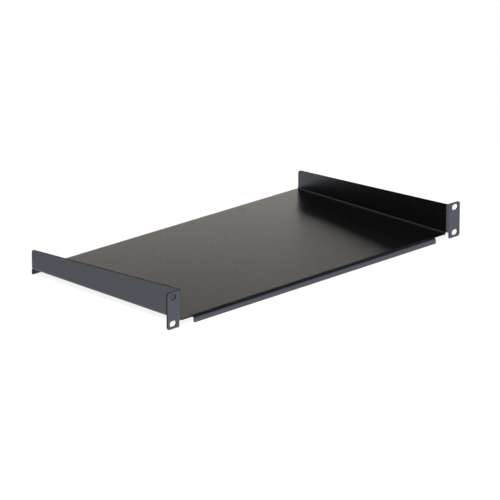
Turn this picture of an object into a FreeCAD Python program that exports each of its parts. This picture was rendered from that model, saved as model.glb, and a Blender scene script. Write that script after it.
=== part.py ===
"""A 19 inch cantilever rack shelf, one rack unit high, folded from one steel sheet.

The tray carries the load.  Its two sides fold up into walls that taper towards the
rear, the front end of each wall folds outwards into a slotted ear, and the front and
rear edges of the tray fold down into short stiffening lips.

Frame: X to the right as seen from the front, Y towards the rear of the rack, Z up.
The origin is the middle of the four slots, on the plane where the rear faces of the
ears meet the rack's rails.  All lengths are in millimetres.
"""

import FreeCAD
import Part
import math
import os

# Sheet and folds
sheet = 1.5               # thickness of the sheet
fold_radius = 2.0         # inside radius of the folds at the walls and ears
lip_fold_radius = 3.0     # inside radius of the wider folds at the lips
edge_setback = 2.0        # a free edge beside a fold stops this far from the folded face
relief_width = 1.0        # slit that parts an end of the front lip from the edge beside it

# Ears
ear_span = 482.6          # over the outer edges of both ears
ear_height = 43.66        # one rack unit panel
ear_width = 20.45         # from the outer face of a wall to the outer edge of its ear
ear_corner = 3.5          # radius of the two outer corners
tab_corner = 1.0          # radius of the inner corner at the foot of an ear
slot_length = 10.0        # along X
slot_width = 7.0          # along Z
slot_side_margin = 8.75   # middle of a slot to the outer edge of its ear
slot_end_margin = 5.955   # middle of a slot to the nearer end of its ear

# Tray and walls
depth = 257.0             # front faces of the ears to the outer face of the rear lip
tray_rise = 5.95          # underside of the tray above the lower ends of the ears
rear_wall_height = 25.0   # walls at their rear ends, over the underside of the tray
wall_corner = 4.0         # radius of the upper rear corner of a wall

# Lips
front_lip_height = 8.2    # upper face of the tray to the lower edge of the front lip
rear_lip_height = 9.0     # the same for the rear lip
front_lip_inset = 21.25   # outer face of a wall to the nearer end of the front lip
lip_corner = 1.2          # radius of the lower corners of a lip

# Levels and faces that follow from the sizes above
half_width = ear_span / 2 - ear_width
fold_outer = fold_radius + sheet
lip_fold_outer = lip_fold_radius + sheet
front_face = -sheet
rear_face = front_face + depth
top = ear_height / 2
bottom = -ear_height / 2
tray_under = bottom + tray_rise
tray_top = tray_under + sheet
tray_front = front_face + edge_setback
front_fold = front_face + lip_fold_outer
rear_fold = rear_face - lip_fold_outer
flat_side = half_width - fold_outer
wall_front = fold_radius
wall_rear_top = tray_under + rear_wall_height
ear_fold_foot = tray_under + edge_setback
tab_inner = half_width + fold_radius
front_lip_end = half_width - front_lip_inset
reach = ear_span + depth  # long enough to cut right through the whole shelf
closed_gap = 1e-6         # two arcs nearer than this meet, with no straight run between


def place(axis, u, v, along):
    """Turn outline coordinates into a point; the outline is square to the axis."""
    if axis == "x":
        return FreeCAD.Vector(along, u, v)
    if axis == "y":
        return FreeCAD.Vector(u, along, v)
    return FreeCAD.Vector(u, v, along)


def rounded_wire(points, radii):
    """Closed wire through the points, with an arc of the given radius at each corner."""
    count = len(points)
    edges = []
    starts = []
    ends = []
    for index in range(count):
        corner = points[index]
        radius = radii[index]
        back = (points[index - 1] - corner).normalize()
        ahead = (points[(index + 1) % count] - corner).normalize()
        half_turn = back.getAngle(ahead) / 2
        run = radius / math.tan(half_turn)
        start = corner + back * run
        end = corner + ahead * run
        starts.append(start)
        ends.append(end)
        if radius > 0:
            middle = (back + ahead).normalize()
            nearest = corner + middle * (radius / math.sin(half_turn) - radius)
            edges.append(Part.Arc(start, nearest, end).toShape())
    for index in range(count):
        if ends[index - 1].distanceToPoint(starts[index]) > closed_gap:
            edges.append(Part.LineSegment(ends[index - 1], starts[index]).toShape())
    return Part.Wire(Part.__sortEdges__(edges))


def prism(axis, low, high, corners):
    """Solid with the same outline all along the axis; a corner is (u, v, radius)."""
    points = [place(axis, u, v, low) for u, v, radius in corners]
    radii = [radius for u, v, radius in corners]
    face = Part.Face(rounded_wire(points, radii))
    return face.extrude(place(axis, 0, 0, high - low))


def slot(middle_x, middle_z):
    """Round-ended slot through an ear, long along X."""
    half_length = slot_length / 2
    radius = slot_width / 2
    corners = [
        (middle_x - half_length, middle_z - radius, radius),
        (middle_x + half_length, middle_z - radius, radius),
        (middle_x + half_length, middle_z + radius, radius),
        (middle_x - half_length, middle_z + radius, radius),
    ]
    return prism("y", -reach, reach, corners)


def tray_plan():
    """Everything within the tray's free edges, slits and fold lines, seen from above."""
    slit_side = front_lip_end + relief_width
    slit_radius = relief_width / 2
    slit_end = front_fold + slit_radius
    right = [
        (front_lip_end, front_fold, 0),
        (front_lip_end, slit_end, slit_radius),
        (slit_side, slit_end, slit_radius),
        (slit_side, tray_front, 0),
        (flat_side, tray_front, 0),
        (flat_side, wall_front, 0),
        (reach, wall_front, 0),
        (reach, rear_fold, 0),
    ]
    left = [(-x, y, radius) for x, y, radius in reversed(right)]
    return prism("z", bottom, top, right + left)


def tray_and_walls():
    """Channel section, trimmed by its outline from the side and from above."""
    inner = half_width - sheet
    channel = prism("y", front_face, rear_face, [
        (-half_width, top, 0),
        (-half_width, tray_under, fold_outer),
        (half_width, tray_under, fold_outer),
        (half_width, top, 0),
        (inner, top, 0),
        (inner, tray_top, fold_radius),
        (-inner, tray_top, fold_radius),
        (-inner, top, 0),
    ])
    side_outline = prism("x", -reach, reach, [
        (front_face, tray_under, 0),
        (rear_fold, tray_under, 0),
        (rear_fold, wall_rear_top, wall_corner),
        (wall_front, top, 0),
        (front_face, top, 0),
    ])
    return channel.common(side_outline).common(tray_plan())


def lip(face, inward, end, height):
    """Lip folded down from the tray; inward is 1 at the front and -1 at the rear."""
    fold_line = face + inward * lip_fold_outer
    back = face + inward * sheet
    lower_edge = tray_top - height
    section = prism("x", -end, end, [
        (fold_line, tray_top, 0),
        (face, tray_top, lip_fold_outer),
        (face, lower_edge, 0),
        (back, lower_edge, 0),
        (back, tray_under, lip_fold_radius),
        (fold_line, tray_under, 0),
    ])
    outline = prism("y", front_face, rear_face, [
        (-end, lower_edge, lip_corner),
        (end, lower_edge, lip_corner),
        (end, tray_top, 0),
        (-end, tray_top, 0),
    ])
    return section.common(outline)


def right_ear():
    """Ear folded outwards from the right wall, with a foot below the fold."""
    outer = ear_span / 2
    inner = half_width - sheet
    section = prism("z", bottom, top, [
        (inner, wall_front, 0),
        (inner, front_face, fold_outer),
        (outer, front_face, 0),
        (outer, 0, 0),
        (half_width, 0, fold_radius),
        (half_width, wall_front, 0),
    ])
    outline = prism("y", front_face, wall_front, [
        (inner, ear_fold_foot, 0),
        (tab_inner, ear_fold_foot, 0),
        (tab_inner, bottom, tab_corner),
        (outer, bottom, ear_corner),
        (outer, top, ear_corner),
        (inner, top, 0),
    ])
    ear = section.common(outline)
    slot_x = outer - slot_side_margin
    slot_z = top - slot_end_margin
    return ear.cut(slot(slot_x, slot_z)).cut(slot(slot_x, -slot_z))


def shelf():
    """The whole folded sheet as one solid."""
    right = right_ear()
    left = right.mirror(FreeCAD.Vector(0, 0, 0), FreeCAD.Vector(1, 0, 0))
    front = lip(front_face, 1, front_lip_end, front_lip_height)
    rear = lip(rear_face, -1, flat_side, rear_lip_height)
    joined = tray_and_walls().multiFuse([right, left, front, rear])
    return joined.removeSplitter()


os.makedirs("parts", exist_ok=True)
model = shelf()
model.exportStep("parts/shelf.step")
box = model.BoundBox
print("solids", len(model.Solids), "valid", model.isValid(), "volume", round(model.Volume))
print("size", round(box.XLength, 2), round(box.YLength, 2), round(box.ZLength, 2))
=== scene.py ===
"""A 19 inch cantilever rack shelf in satin black powder coat, on a plain pale floor."""

import math

import bmesh
import bpy
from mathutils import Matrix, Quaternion, Vector


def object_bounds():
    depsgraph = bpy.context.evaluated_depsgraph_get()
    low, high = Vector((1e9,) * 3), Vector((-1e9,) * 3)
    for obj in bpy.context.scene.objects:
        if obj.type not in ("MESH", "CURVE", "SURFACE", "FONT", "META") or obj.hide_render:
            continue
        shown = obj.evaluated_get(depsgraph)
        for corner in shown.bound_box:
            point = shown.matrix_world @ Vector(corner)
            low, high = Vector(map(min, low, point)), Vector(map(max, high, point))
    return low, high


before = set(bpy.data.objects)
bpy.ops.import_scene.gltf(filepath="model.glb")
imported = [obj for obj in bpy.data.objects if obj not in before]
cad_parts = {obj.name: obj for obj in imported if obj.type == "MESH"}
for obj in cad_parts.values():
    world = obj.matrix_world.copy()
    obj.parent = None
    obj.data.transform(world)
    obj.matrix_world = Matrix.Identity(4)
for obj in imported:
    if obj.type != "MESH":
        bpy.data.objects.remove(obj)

cad_low, cad_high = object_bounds()

# Camera: angles in degrees, the heading from +Y towards +X, lengths in metres
camera_heading = 44.391
camera_pitch = 18.543
camera_distance = 4.4715
camera_roll = 0.123
camera_lens = 274.68      # in millimetres
far_limit = 100
aim = Vector((-0.02221, 0.08989, 0.0))

# Powder coat: the cut edges have a rougher coat with little sheen
coat_color = (0.0006, 0.0006, 0.0006)
coat_roughness = 0.3
coat_ior = 1.8
cut_roughness = 0.75
cut_ior = 1.2
grain_size = 0.002        # about the size of a bump, in metres
grain_depth = 0.00003
grain_detail = 2
grain_range = (0.3, 0.7)  # most of the noise lies between these
roughness_spread = 0.03   # either way

# Light: each panel is (centre, width, height, brightness, color), with lengths in metres
white = (1.0, 1.0, 1.0)
cool = (0.88, 0.97, 1.20)
warm = (1.06, 1.0, 0.93)
back_panel = (Vector((1.308, 1.448, 0.213)), 3.2, 0.474, 2.35, warm)
front_panel = (Vector((0.9, -0.9, 0.25)), 2.0, 0.55, 0.9, cool)
rear_top_panel = (Vector((-0.32, 1.53, 1.36)), 1.5, 0.9, 0.5, cool)
right_top_panel = (Vector((1.35, 0.2, 1.5)), 1.5, 0.6, 0.2, cool)
key_panel = (Vector((-1.27, -1.16, 1.76)), 1.6, 1.6, 10.0, white)
world_level = 0.02

# Floor: its shade and glow to the lamps, in the coat's reflections and to the camera
floor_size = 40.0
floor_shade = 0.85
mirrored_shade = 0.46
# Painted reflection: in the coat's reflections the floor glows bluish, with a brighter painted
# pool of light in front of the shelf's front edge
mirrored_glow = (0.37, 0.42, 0.54)
painted_front_pool_glow = (0.60, 0.64, 0.83)
glow_change = (0.0, 0.06)  # where, along Y, the front's mirrored glow turns into the rear's
seen_shade = 0.2
seen_glow = 0.88

# Mesh: lengths in metres
weld_distance = 1e-6
fold_step = math.radians(30)
flat_step = math.radians(0.05)
arris_radius = 0.0002
arris_segments = 3
skins = 2                 # the sheet's two large sides
cut_edge_slot = 1


def new_material(name):
    """An empty node material, with its tree and its output node."""
    material = bpy.data.materials.new(name)
    material.use_nodes = True
    tree = material.node_tree
    tree.nodes.clear()
    output = tree.nodes.new("ShaderNodeOutputMaterial")
    return material, tree, output


def coat(name, roughness, ior):
    """Black powder coat: a dark gloss broken up by a fine grain."""
    material, tree, output = new_material(name)
    shader = tree.nodes.new("ShaderNodeBsdfPrincipled")
    shader.inputs["Base Color"].default_value = (*coat_color, 1)
    shader.inputs["IOR"].default_value = ior
    tree.links.new(shader.outputs["BSDF"], output.inputs["Surface"])

    place = tree.nodes.new("ShaderNodeTexCoord")
    grain = tree.nodes.new("ShaderNodeTexNoise")
    grain.inputs["Scale"].default_value = 1 / grain_size
    grain.inputs["Detail"].default_value = grain_detail
    tree.links.new(place.outputs["Object"], grain.inputs["Vector"])

    bump = tree.nodes.new("ShaderNodeBump")
    bump.inputs["Distance"].default_value = grain_depth
    tree.links.new(grain.outputs["Fac"], bump.inputs["Height"])
    tree.links.new(bump.outputs["Normal"], shader.inputs["Normal"])

    spread = tree.nodes.new("ShaderNodeMapRange")
    spread.inputs["From Min"].default_value, spread.inputs["From Max"].default_value = grain_range
    spread.inputs["To Min"].default_value = roughness - roughness_spread
    spread.inputs["To Max"].default_value = roughness + roughness_spread
    tree.links.new(grain.outputs["Fac"], spread.inputs["Value"])
    tree.links.new(spread.outputs["Result"], shader.inputs["Roughness"])
    return material


def smooth_regions(mesh):
    """Numbers of the mesh's faces, in regions that no sharp edge divides, largest first."""
    work = bmesh.new()
    work.from_mesh(mesh)
    bmesh.ops.remove_doubles(work, verts=work.verts, dist=weld_distance)
    waiting = set(work.faces)
    regions = []
    while waiting:
        region = {waiting.pop()}
        front = list(region)
        while front:
            for edge in front.pop().edges:
                if edge.calc_face_angle() < fold_step:
                    fresh = waiting.intersection(edge.link_faces)
                    waiting -= fresh
                    region |= fresh
                    front.extend(fresh)
        area = sum(face.calc_area() for face in region)
        regions.append((area, sorted(face.index for face in region)))
    work.free()
    return [faces for area, faces in sorted(regions, reverse=True)]


def dress_shelf():
    """Satin coat on the sheet's skins, the rough coat on its cut edges, and every arris eased."""
    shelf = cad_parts["shelf"]
    mesh = shelf.data
    mesh.materials.clear()
    mesh.materials.append(coat("powder_coat", coat_roughness, coat_ior))
    mesh.materials.append(coat("cut_edge", cut_roughness, cut_ior))
    for region in smooth_regions(mesh)[skins:]:
        for index in region:
            mesh.polygons[index].material_index = cut_edge_slot
    weld = shelf.modifiers.new("weld", "WELD")
    weld.merge_threshold = weld_distance
    flatten = shelf.modifiers.new("flatten", "DECIMATE")
    flatten.decimate_type = "DISSOLVE"
    flatten.angle_limit = flat_step
    flatten.delimit = {"MATERIAL"}
    ease = shelf.modifiers.new("ease", "BEVEL")
    ease.width = arris_radius
    ease.segments = arris_segments
    ease.material = cut_edge_slot
    ease.limit_method = "ANGLE"
    ease.angle_limit = fold_step
    ease.use_clamp_overlap = False
    normals = shelf.modifiers.new("normals", "WEIGHTED_NORMAL")
    normals.weight = 100
    normals.keep_sharp = False


def front_to_rear(tree, front, rear):
    """Color that is `front` before the shelf's front edge and turns into `rear` behind it."""
    place = tree.nodes.new("ShaderNodeNewGeometry")
    split = tree.nodes.new("ShaderNodeSeparateXYZ")
    tree.links.new(place.outputs["Position"], split.inputs[0])
    fade = tree.nodes.new("ShaderNodeMapRange")
    fade.interpolation_type = "SMOOTHSTEP"
    fade.inputs["From Min"].default_value, fade.inputs["From Max"].default_value = glow_change
    tree.links.new(split.outputs["Y"], fade.inputs["Value"])
    color = tree.nodes.new("ShaderNodeMix")
    color.data_type = "RGBA"
    color.inputs["A"].default_value = (*front, 1)
    color.inputs["B"].default_value = (*rear, 1)
    tree.links.new(fade.outputs["Result"], color.inputs["Factor"])
    return color.outputs["Result"]


def glowing_surface(tree, shade, glow):
    """Matt surface that also glows; returns its shader and the light in it."""
    matt = tree.nodes.new("ShaderNodeBsdfDiffuse")
    matt.inputs["Color"].default_value = (shade, shade, shade, 1)
    light = tree.nodes.new("ShaderNodeEmission")
    light.inputs["Strength"].default_value = glow
    both = tree.nodes.new("ShaderNodeAddShader")
    tree.links.new(matt.outputs[0], both.inputs[0])
    tree.links.new(light.outputs[0], both.inputs[1])
    return both, light


def studio_floor():
    """A plain pale floor, which looks white and keeps a faint shadow. In the coat's reflections
    it glows as painted light, bluish and brighter in front of the shelf.
    """
    bpy.ops.mesh.primitive_plane_add(size=floor_size, location=(0, 0, cad_low[2]))
    floor = bpy.context.object
    floor.name = "floor"
    material, tree, output = new_material("floor")
    result, light = glowing_surface(tree, floor_shade, 0)
    mirrored, light = glowing_surface(tree, mirrored_shade, 1)
    # Painted pool of light: the glow seen in reflections is brighter in front of the shelf than
    # behind it
    tree.links.new(front_to_rear(tree, painted_front_pool_glow, mirrored_glow), light.inputs["Color"])
    seen, light = glowing_surface(tree, seen_shade, seen_glow)

    path = tree.nodes.new("ShaderNodeLightPath")
    for ray, chosen in (("Glossy", mirrored), ("Transmission", seen), ("Camera", seen)):
        mix = tree.nodes.new("ShaderNodeMixShader")
        tree.links.new(path.outputs[f"Is {ray} Ray"], mix.inputs[0])
        tree.links.new(result.outputs[0], mix.inputs[1])
        tree.links.new(chosen.outputs[0], mix.inputs[2])
        result = mix
    tree.links.new(result.outputs[0], output.inputs["Surface"])
    floor.data.materials.append(material)


def soft_panel(name, panel):
    """Flat soft lamp that faces the shelf; the camera doesn't see it."""
    centre, width, height, brightness, color = panel
    lamp = bpy.data.lights.new(name, "AREA")
    lamp.shape = "RECTANGLE"
    lamp.size = width
    lamp.size_y = height
    lamp.energy = brightness * math.pi * width * height
    lamp.color = color
    holder = bpy.data.objects.new(name, lamp)
    bpy.context.scene.collection.objects.link(holder)
    holder.location = centre
    holder.rotation_mode = "QUATERNION"
    holder.rotation_quaternion = (aim - centre).to_track_quat("-Z", "Y")
    holder.visible_camera = False


def studio_light():
    """A dim even world, and soft panels around the shelf."""
    world = bpy.data.worlds.new("studio")
    bpy.context.scene.world = world
    world.use_nodes = True
    background = world.node_tree.nodes["Background"]
    background.inputs["Color"].default_value = (1, 1, 1, 1)
    background.inputs["Strength"].default_value = world_level
    soft_panel("back_panel", back_panel)
    soft_panel("front_panel", front_panel)
    soft_panel("rear_top_panel", rear_top_panel)
    soft_panel("right_top_panel", right_top_panel)
    soft_panel("key_panel", key_panel)


def photo_camera():
    """A long lens from the front left and above."""
    heading = math.radians(camera_heading)
    pitch = math.radians(camera_pitch)
    view = Vector((
        math.sin(heading) * math.cos(pitch),
        math.cos(heading) * math.cos(pitch),
        -math.sin(pitch),
    ))
    camera = bpy.data.objects.new("camera", bpy.data.cameras.new("camera"))
    bpy.context.scene.collection.objects.link(camera)
    camera.location = aim - view * camera_distance
    camera.rotation_mode = "QUATERNION"
    roll = Quaternion(view, math.radians(camera_roll))
    camera.rotation_quaternion = roll @ view.to_track_quat("-Z", "Y")
    camera.data.lens = camera_lens
    camera.data.clip_end = far_limit
    bpy.context.scene.camera = camera


dress_shelf()
studio_floor()
studio_light()
photo_camera()
bpy.context.scene.view_settings.view_transform = "Standard"
